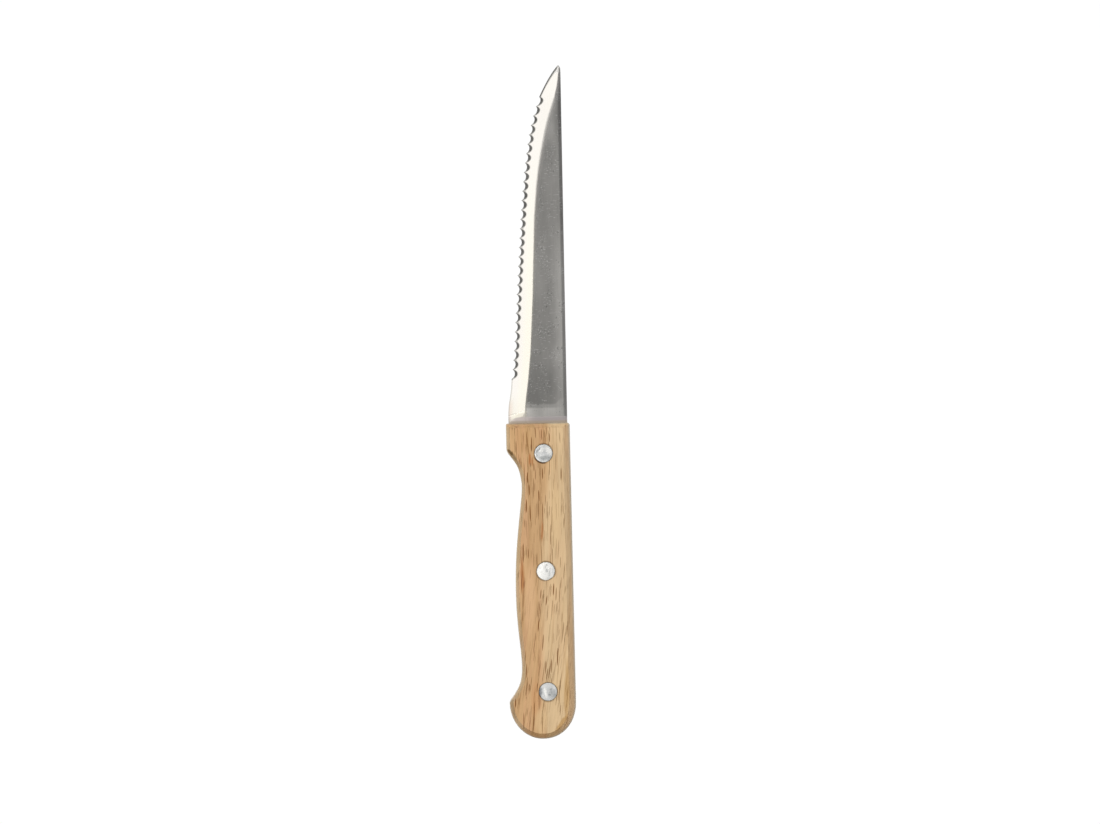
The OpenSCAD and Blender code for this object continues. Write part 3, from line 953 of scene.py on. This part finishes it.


# Dents and painted highlights and shade of the rivet heads, in millimetres from the middle of each. A dent
# is x, y, reach and depth. Each painted highlight and shade is colour, x, y, half width, half length, lean
# and strength. The arcs are where the painted shadow round a rivet in the wood is darker.
BRIGHT = colour("#fbfaf6")
SILVER = colour("#ebecea")
PEWTER = colour("#dcdddc")
SMOKE = colour("#adb0af")
SHADE_GREY = colour("#87898b")
RIVET_LOOKS = {
    "front": {
        "ground": PEWTER,
        "metallic": 0.35,
        "roughness": (0.24, 0.42),
        "arcs": [(242, 0.9), (75, 0.5)],
        "dents": [(0.9, 0.6, 1.9, 0.1), (-1.2, -0.5, 1.7, 0.08), (0.3, -1.7, 1.4, 0.05)],
        "painted_highlights_and_shade": [
            (SMOKE, 0.1, -1.4, 0.9, 2.2, 88, 0.75),
            (SMOKE, 1.9, -1.5, 0.6, 1.1, 42, 0.7),
            (SHADE_GREY, -1.75, 1.1, 0.55, 1.7, 40, 0.7),
            (SMOKE, -2.25, -0.5, 0.4, 1.2, -4, 0.6),
            (BRIGHT, 1.7, 0.9, 1.3, 2.1, -28, 1.0),
            (BRIGHT, -0.5, 1.1, 0.8, 1.3, 58, 0.8),
            (BRIGHT, -2.65, -0.6, 0.3, 1.8, -13, 1.0),
            (BRIGHT, -1.7, -2.1, 0.3, 1.3, -44, 1.0),
            (BRIGHT, 0.1, -2.65, 0.3, 1.1, 88, 0.7),
        ],
    },
    "middle": {
        "ground": BRIGHT,
        "metallic": 0.25,
        "roughness": (0.24, 0.42),
        "arcs": [(75, 0.55), (0, 0.5), (225, 0.5)],
        "dents": [(0.3, 1.0, 1.2, 0.08), (1.1, -0.4, 1.0, 0.06), (-1.6, 1.2, 0.9, 0.04)],
        "painted_highlights_and_shade": [
            (SMOKE, 0.3, 1.9, 0.36, 0.5, 20, 0.7),
            (SMOKE, -0.1, 1.3, 0.26, 0.5, 0, 0.5),
            (SMOKE, 0.35, 0.3, 0.6, 0.8, 0, 0.65),
            (SHADE_GREY, 1.15, -0.2, 0.28, 0.3, 0, 0.6),
            (SMOKE, 1.4, 0.5, 0.22, 0.6, 0, 0.5),
            (SMOKE, 1.2, -1.1, 0.5, 1.0, -6, 0.45),
            (SILVER, 2.3, 0.2, 0.45, 1.8, 0, 0.9),
            (SILVER, -1.9, 1.4, 0.6, 0.8, 0, 0.9),
            (SMOKE, 1.1, -2.35, 1.2, 0.45, 8, 0.35),
        ],
    },
    "rear": {
        "ground": PEWTER,
        "metallic": 0.3,
        "roughness": (0.42, 0.52),
        "arcs": [(270, 0.45)],
        "dents": [(0.9, 0.2, 1.7, 0.09), (-1.7, 0.3, 1.3, 0.06), (0.6, -1.2, 0.7, 0.04)],
        "painted_highlights_and_shade": [
            (SHADE_GREY, -2.6, -0.1, 1.05, 2.4, 4, 0.9),
            (SMOKE, 1.3, -0.5, 1.7, 2.2, -12, 0.6),
            (BRIGHT, -0.8, -0.3, 0.62, 2.3, -10, 1.0),
            (BRIGHT, 0.25, 0.1, 0.35, 0.5, 0, 0.4),
            (SHADE_GREY, 0.45, -1.0, 0.36, 0.4, 0, 0.75),
            (SHADE_GREY, 0.95, 0.7, 0.3, 0.34, 0, 0.55),
            (SHADE_GREY, 1.15, -0.2, 0.2, 0.8, 0, 0.45),
            (SILVER, 1.9, 1.3, 0.6, 0.8, -30, 0.8),
            (SMOKE, 2.1, -1.2, 0.7, 0.9, -10, 0.5),
        ],
    },
}


# Rivet heads: size and reach of the wander of the borders of the painted highlights and shade, in
# millimetres, the mottling, and the height of the specks and of the whole
HEAD_WANDER = ((0.7, 0.7, 0.7), 1.0)
MOTTLE_SIZE = (0.8, 0.8, 0.8)
MOTTLE_SHADE = (0.55, 0.75, 0.0, 0.1)
SPECK_HEIGHT = 0.3
HAMMER_HEIGHT = 0.001 * MM


def rivet_aluminium(name, centre, look):
    """Material of one rivet: bright, with painted highlights and shade of its dents and dome, and fine
    mottling.
    """
    material, tree, surface = new_material(name)
    place = millimetres(tree)
    marks = use_group(tree, METAL_MARKS, Place=place)
    painted_highlights_and_shade = [(shade, centre[0] + x, centre[1] + y, *shape) for shade, x, y, *shape in look["painted_highlights_and_shade"]]
    tone = draw_marks(look["ground"], wandering(place, *HEAD_WANDER), painted_highlights_and_shade)
    mottle = noise(place, MOTTLE_SIZE)
    height = plus(mottle, times(marks["Specks"], SPECK_HEIGHT))
    feed_all(
        surface,
        Base_Color=mix_colours(between(mottle, *MOTTLE_SHADE), tone, SMOKE),
        Metallic=look["metallic"],
        Roughness=between(mottle, *NOISE_RANGE, *look["roughness"]),
        Normal=bump(height, HAMMER_HEIGHT),
    )
    return material


# The blade

def kind_of(face):
    """Surface of the blade that a face belongs to, told by the way that it faces."""
    across, along, up = face.normal
    past_plunge = face.center.y > HANDLE_FRONT + PLUNGE_LENGTH
    if abs(up) < ON_EDGE:
        return "grind" if across < 0 and past_plunge else "side"
    if across > EASE_SLOPE:
        return "ease"
    if across > FLAT_SLOPES[0] and abs(along) < FLAT_SLOPES[1]:
        return "flat"
    if not past_plunge:
        return "plunge"
    return "bevel" if across > BEVEL_SLOPES[0] and abs(along) < BEVEL_SLOPES[1] else "grind"


def faces_by_edge(mesh):
    """The faces that meet at each edge of a mesh, by the edge's key."""
    meeting = {}
    for face in mesh.polygons:
        for key in face.edge_keys:
            meeting.setdefault(key, []).append(face)
    return meeting


def borders(piece, one, other):
    """Edges of a piece that lie between faces of two kinds."""
    meeting = faces_by_edge(piece.data)
    return [edge for edge in piece.data.edges
            if {kind_of(face) for face in meeting[edge.key]} == {one, other}]


def ends_of(mesh, edge):
    """Places of an edge's two ends."""
    return [mesh.vertices[i].co for i in edge.vertices]


def middle_of(mesh, edge):
    """Place of an edge's middle."""
    return sum(ends_of(mesh, edge), Vector()) / 2


def soften(piece, widths, segments):
    """Rounds edges, each to its own width. The widths are kept by the edge's number."""
    weights = piece.data.attributes.get("bevel_weight_edge") or piece.data.attributes.new(
        "bevel_weight_edge", "FLOAT", "EDGE")
    widest = max(widths.values())
    for item in weights.data:
        item.value = 0.0
    for number, width in widths.items():
        weights.data[number].value = width / widest
    rounding = piece.modifiers.new("rounding", "BEVEL")
    rounding.limit_method = "WEIGHT"
    rounding.width = widest
    rounding.segments = segments
    rounding.use_clamp_overlap = False
    take_up(piece)
    bpy.ops.object.modifier_apply(modifier="rounding")


def line_through(mesh, edges):
    """Place x of a line of edges as a function of y."""
    ends = {i for edge in edges for i in edge.vertices}
    points = sorted((mesh.vertices[i].co.y, mesh.vertices[i].co.x) for i in ends)

    def place(y):
        """Place x at y, straight between the points."""
        for (y0, x0), (y1, x1) in zip(points, points[1:]):
            if y <= y1:
                return x0 + (x1 - x0) * max(y - y0, 0) / max(y1 - y0, MERGE_GAP)
        return points[-1][1]
    return place


def even_normals(piece):
    """Keeps the large faces flat, so that only the roundings between them shade round."""
    put_down(piece)
    weighting = piece.modifiers.new("even normals", "WEIGHTED_NORMAL")
    weighting.keep_sharp = True
    weighting.weight = NORMAL_WEIGHT
    bpy.ops.object.modifier_apply(modifier="even normals")


def cut_places(points):
    """Places of the cuts across the blade: all the given points, and more where they lie far apart."""
    points = sorted({round(y / MERGE_GAP) * MERGE_GAP for y in points})
    places = []
    for start, end in zip(points, points[1:]):
        count = math.ceil((end - start) / CUT_SPACING)
        places += [start + (end - start) * i / count for i in range(count)]
    return places + points[-1:]


def cut_across(piece, places):
    """Cuts a piece across at places along y, and leaves its faces four-sided where they can be."""
    take_up(piece)
    bpy.ops.object.mode_set(mode="EDIT")
    for place in places:
        bpy.ops.mesh.select_all(action="SELECT")
        bpy.ops.mesh.bisect(plane_co=(0, place, 0), plane_no=(0, 1, 0), threshold=2 * MERGE_GAP)
    bpy.ops.mesh.select_all(action="SELECT")
    bpy.ops.mesh.tris_convert_to_quads(face_threshold=QUAD_ANGLE, shape_threshold=math.pi)
    bpy.ops.object.mode_set(mode="OBJECT")


def join_cells(piece, kind):
    """Makes one face of all that lies between two neighbouring cuts on one surface of the blade."""
    pick(piece)
    bpy.ops.mesh.select_mode(type="EDGE")
    bpy.ops.object.mode_set(mode="OBJECT")
    for edge in borders(piece, kind, kind):
        a, b = ends_of(piece.data, edge)
        edge.select = abs(a.y - b.y) > 2 * MERGE_GAP
    bpy.ops.object.mode_set(mode="EDIT")
    bpy.ops.mesh.dissolve_edges(use_verts=True)
    bpy.ops.object.mode_set(mode="OBJECT")


def left_by_tip(share):
    """How much of a rounding is left at a share of the blade's length, which is all but by the tip."""
    return min((1 - share) / (1 - NARROW_FLAT_PLACE), 1)


def shoulder_softness(share):
    """Width of the shoulder's rounding at a share of the blade's length from the handle."""
    growth = max(share - SHOULDER_GROWS_AT, 0) ** SHOULDER_GROWTH
    wide = SHOULDER_SOFT_HEEL + (SHOULDER_SOFT_TIP - SHOULDER_SOFT_HEEL) * growth
    return wide * left_by_tip(share) ** SHOULDER_NARROWING


def soften_blade(piece):
    """Rounds the shoulder, softly at the tip and crisply at the heel, and the border by the spine."""
    widths = {}
    for other in ("bevel", "ease"):
        for edge in borders(piece, "flat", other):
            share = (middle_of(piece.data, edge).y - HANDLE_FRONT) / (TIP - HANDLE_FRONT)
            width = shoulder_softness(share) if other == "bevel" else SPINE_SOFT * left_by_tip(share)
            widths[edge.index] = width
    soften(piece, widths, SHOULDER_STEPS)


def blade_lines(piece):
    """How far a place lies from the blade's three lines on its upper side, as functions of x and y."""
    mesh = piece.data
    lines = []
    for one, other in (("bevel", "flat"), ("grind", "bevel")):
        upper = [edge for edge in borders(piece, one, other) if middle_of(mesh, edge).z > STEEL_MIDDLE]
        lines.append(line_through(mesh, upper))
    shoulder_at, edge_at = lines
    spine = max(v.co.x for v in mesh.vertices if v.co.y > (HANDLE_FRONT + TIP) / 2)
    return {
        "past_shoulder": lambda x, y: x - shoulder_at(y),
        "short_of_spine": lambda x, y: spine - x,
        "past_edge": lambda x, y: x - edge_at(y),
    }


def make_blade():
    """The blade and its tang, which keeps its distances from the blade's lines for its material."""
    piece = copy_of("blade", "blade_and_tang")
    shoulder = borders(piece, "bevel", "flat")
    cut_across(piece, cut_places([end.y for edge in shoulder for end in ends_of(piece.data, edge)]))
    join_cells(piece, "bevel")
    lines = blade_lines(piece)
    soften_blade(piece)
    for name, distance in lines.items():
        items = piece.data.attributes.new(name, "FLOAT", "POINT").data
        for vertex, item in zip(piece.data.vertices, items):
            item.value = distance(vertex.co.x, vertex.co.y) / MM
    for edge in borders(piece, "grind", "bevel") + borders(piece, "grind", "side"):
        edge.use_edge_sharp = True
    for face in piece.data.polygons:
        face.material_index = {"grind": 1, "side": 2}.get(kind_of(face), 0)
    return piece


# The scales

def near_rivet(point):
    """Tells whether a point of a scale lies at the recess of a rivet."""
    return min(math.hypot(point.x - v.x, point.y - v.y) for v in RIVET_PLACES.values()) < RECESS_REACH


def make_scale(node, name, side):
    """A wooden scale with its joint and rivet recesses eased. Side is 1 for upper and -1 for lower."""
    piece = copy_of(node, name)
    mesh = piece.data
    outside, joint = (FACE_TOP, STEEL_TOP) if side > 0 else (0.0, STEEL_BOTTOM)
    meeting = faces_by_edge(mesh)
    widths = {}
    for edge in mesh.edges:
        faces = meeting[edge.key]
        at_recess = all(near_rivet(end) for end in ends_of(mesh, edge))
        on_joint = all(abs(end.z - joint) < MERGE_GAP for end in ends_of(mesh, edge))
        levels = {abs(f.normal.z) > LEVEL and abs(f.center.z - outside) < MERGE_GAP for f in faces}
        if levels == {True, False}:
            edge.use_edge_sharp = not at_recess
            if at_recess:
                widths[edge.index] = RECESS_EASE
        elif on_joint and not at_recess and min(abs(f.normal.z) for f in faces) < WALL:
            widths[edge.index] = JOINT_EASE
    soften(piece, widths, EASE_STEPS)
    return piece


# The rivets

def crown(piece, head_radius, rim_depth):
    """Rounds the rim of a flat head, and raises its face in rings from the rim to the middle."""
    pick(piece, edges=lambda a, b: min(a.z, b.z) > -rim_depth - MERGE_GAP)
    bpy.ops.mesh.bevel(offset=HEAD_RIM, segments=RIM_STEPS, affect="EDGES")
    pick(piece, faces=lambda f: f.normal.z > LEVEL)
    crown_radius = head_radius - HEAD_RIM
    step = crown_radius / (HEAD_RINGS + 0.5)
    for ring in range(HEAD_RINGS):
        outer = crown_radius - ring * step
        low, high = (rim_depth * (1 - (radius / crown_radius) ** 2) for radius in (outer, outer - step))
        bpy.ops.mesh.inset(thickness=step, depth=high - low)
    bpy.ops.mesh.poke()


def hammer(piece, middle, rim_depth, dents):
    """Dents a head. A dent is x, y, reach and depth, in millimetres from the head's middle."""
    for x, y, reach, depth in dents:
        bpy.ops.object.mode_set(mode="OBJECT")
        head = [v.co.copy() for v in piece.data.vertices if v.co.z > -rim_depth - MERGE_GAP]
        spot = min(head, key=lambda v: math.hypot(v.x - middle.x - x * MM, v.y - middle.y - y * MM))
        pick(piece, points=lambda v: (v - spot).length < MERGE_GAP)
        bpy.ops.transform.translate(
            value=(0, 0, -depth * MM), use_proportional_edit=True, use_proportional_connected=True,
            proportional_edit_falloff="SMOOTH", proportional_size=reach * MM)


def make_rivet(node, name, side, dents):
    """A rivet half with a hammered head, in the place and to the sizes of its CAD node.

    Side is 1 for a head on top and -1 for one below. A half with a bore is hollow from its end.
    """
    low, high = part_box(node)
    middle = (low + high) / 2
    top, end = (high.z, low.z) if side > 0 else (low.z, high.z)
    length = high.z - low.z
    head_radius = (high.x - low.x) / 2
    points = [v.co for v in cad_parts[node].data.vertices]
    radii = [math.hypot(v.x - middle.x, v.y - middle.y) for v in points]
    at_end = [radius for v, radius in zip(points, radii) if abs(v.z - end) < MERGE_GAP]
    on_rim = [abs(v.z - top) for v, radius in zip(points, radii) if radius > head_radius - MERGE_GAP]
    stem_radius, bore_radius = max(at_end), min(at_end)
    rim_depth, seat_depth = min(on_rim), max(on_rim)

    bpy.ops.mesh.primitive_cylinder_add(
        vertices=HEAD_SIDES, radius=head_radius, depth=seat_depth - rim_depth,
        location=(middle.x, middle.y, -(seat_depth + rim_depth) / 2))
    piece = bpy.context.object
    piece.name = name
    bpy.ops.object.transform_apply(location=True)

    pick(piece, faces=lambda f: f.normal.z < -LEVEL)
    bpy.ops.mesh.inset(thickness=head_radius - stem_radius, depth=0)
    bpy.ops.mesh.extrude_region_move(TRANSFORM_OT_translate={"value": (0, 0, seat_depth - length)})
    if bore_radius < stem_radius - MERGE_GAP:
        bpy.ops.mesh.inset(thickness=stem_radius - bore_radius, depth=0)
        bpy.ops.mesh.extrude_region_move(TRANSFORM_OT_translate={"value": (0, 0, length - seat_depth)})
    crown(piece, head_radius, rim_depth)
    hammer(piece, middle, rim_depth, dents)

    bpy.ops.mesh.select_all(action="SELECT")
    if side < 0:
        bpy.ops.transform.resize(value=(1, 1, -1), center_override=(0, 0, 0))
    bpy.ops.transform.translate(value=(0, 0, top))
    bpy.ops.mesh.normals_make_consistent(inside=False)
    put_down(piece)
    return piece


# The studio

# The floor's side, grey, roughness and faint glow, the white that the camera sees, and the sky
FLOOR_SIZE = 8.0
FLOOR_GREY = (0.8, 0.8, 0.8, 1)
FLOOR_ROUGHNESS = 0.9
FLOOR_GLOW = 0.8
SEEN_WHITE = 1.02
WHITE = (1, 1, 1, 1)
SKY_GREY = (0.3, 0.3, 0.3, 1)
CLIP_END = 100

# Lights: place, size, strength, colour, and whether the metal mirrors them
LIGHTS = {
    "left_softbox": ((-0.45, 0.0, 1.2), (0.55, 1.4), 2.45, (1, 0.985, 0.95), True),
    "overhead": ((-0.4, 0.5, 1.7), (0.8, 0.8), 15.0, (1, 1, 1), False),
    "left_fill": ((-1.2, 0.6, 1.2), (0.8, 0.8), 11.0, (1, 1, 1), False),
}


def add_light(name, place, size, strength, shade, mirrored):
    """A soft rectangular light that faces the knife. One that isn't mirrored shows in no metal."""
    light = bpy.data.lights.new(name, "AREA")
    light.shape = "RECTANGLE"
    light.size, light.size_y = size
    light.energy = strength
    light.color = shade
    card = bpy.data.objects.new(name, light)
    bpy.context.collection.objects.link(card)
    card.location = place
    x, y, z = Vector(place).normalized()
    card.rotation_euler = (-math.asin(y), math.atan2(x, z), 0)
    card.visible_glossy = mirrored


def camera_ray(tree):
    """Tells whether the camera sees a surface straight, and not by its light."""
    return tree.nodes.new("ShaderNodeLightPath").outputs["Is Camera Ray"]


def add_floor():
    """Floor of white paper, which glows faintly and shows as plain white."""
    bpy.ops.mesh.primitive_plane_add(size=FLOOR_SIZE, location=(0, 0, 0))
    floor = bpy.context.object
    floor.name = "floor"
    material, tree, surface = new_material("white_paper")
    feed_all(
        surface,
        Base_Color=FLOOR_GREY,
        Roughness=FLOOR_ROUGHNESS,
        Emission_Color=WHITE,
        Emission_Strength=FLOOR_GLOW,
    )
    blown_out = tree.nodes.new("ShaderNodeEmission")
    blown_out.inputs["Strength"].default_value = SEEN_WHITE
    shown = tree.nodes.new("ShaderNodeMixShader")
    parts = (camera_ray(tree), surface.outputs[0], blown_out.outputs[0])
    for socket, value in zip(shown.inputs, parts):
        feed(socket, value)
    feed(tree.nodes["Material Output"].inputs["Surface"], shown.outputs[0])
    floor.data.materials.append(material)


def add_sky():
    """Grey surroundings for the light, which the camera sees as white."""
    world = bpy.data.worlds.new("studio")
    bpy.context.scene.world = world
    world.use_nodes = True
    tree = world.node_tree
    shade = mix_colours(camera_ray(tree), SKY_GREY, WHITE)
    feed(tree.nodes["Background"].inputs["Color"], shade)


def add_camera():
    """Camera straight above the knife, turned and moved so that the knife lies as in the photograph."""
    lens = bpy.data.cameras.new("camera")
    lens.lens = lens.sensor_width * CAMERA_HEIGHT / (PHOTO_PIXELS[0] * PIXEL)
    lens.clip_end = CLIP_END
    camera = bpy.data.objects.new("camera", lens)
    bpy.context.collection.objects.link(camera)
    across = Vector((math.cos(KNIFE_TURN), -math.sin(KNIFE_TURN), 0))
    along = Vector((math.sin(KNIFE_TURN), math.cos(KNIFE_TURN), 0))
    right = (PHOTO_PIXELS[0] / 2 - KNIFE_MIDDLE_PIXEL[0]) * PIXEL
    up = (KNIFE_MIDDLE_PIXEL[1] - PHOTO_PIXELS[1] / 2) * PIXEL
    camera.location = across * right + along * up + Vector((0, 0, CAMERA_HEIGHT + STEEL_MIDDLE))
    camera.rotation_euler = (0, 0, -KNIFE_TURN)
    bpy.context.scene.camera = camera
    bpy.context.scene.view_settings.view_transform = "Standard"


def dress(piece, node):
    """Puts a finished piece in the place of its CAD node."""
    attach(piece, "root")
    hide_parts(node)


add_floor()
add_sky()
for name, light in LIGHTS.items():
    add_light(name, *light)
add_camera()

blade = make_blade()
even_normals(blade)
for material in (satin_blade(), ground_scallops(), tang_steel()):
    blade.data.materials.append(material)
dress(blade, "blade")

recesses = [(v.x / MM, v.y / MM, HEAD_RADIUS / MM, RIVET_LOOKS[rivet]["arcs"])
            for rivet, v in RIVET_PLACES.items()]
for node, name, side, marks, pores, shift in (
        ("upper_scale", "upper_wood", 1, UPPER_MARKS, UPPER_PORES, (0, 0, 0)),
        ("lower_scale", "lower_wood", -1, (), (), LOWER_SHIFT)):
    scale = make_scale(node, name, side)
    even_normals(scale)
    scale.data.materials.append(oiled_wood(name, shift, recesses, marks, pores))
    dress(scale, node)

for rivet, place in RIVET_PLACES.items():
    look = RIVET_LOOKS[rivet]
    aluminium = rivet_aluminium(f"{rivet}_rivet_aluminium", place / MM, look)
    for half, side in (("sleeve", 1), ("pin", -1)):
        piece = make_rivet(f"{rivet}_rivet_{half}", f"{rivet}_{half}_hammered", side, look["dents"])
        piece.data.materials.append(aluminium)
        dress(piece, f"{rivet}_rivet_{half}")
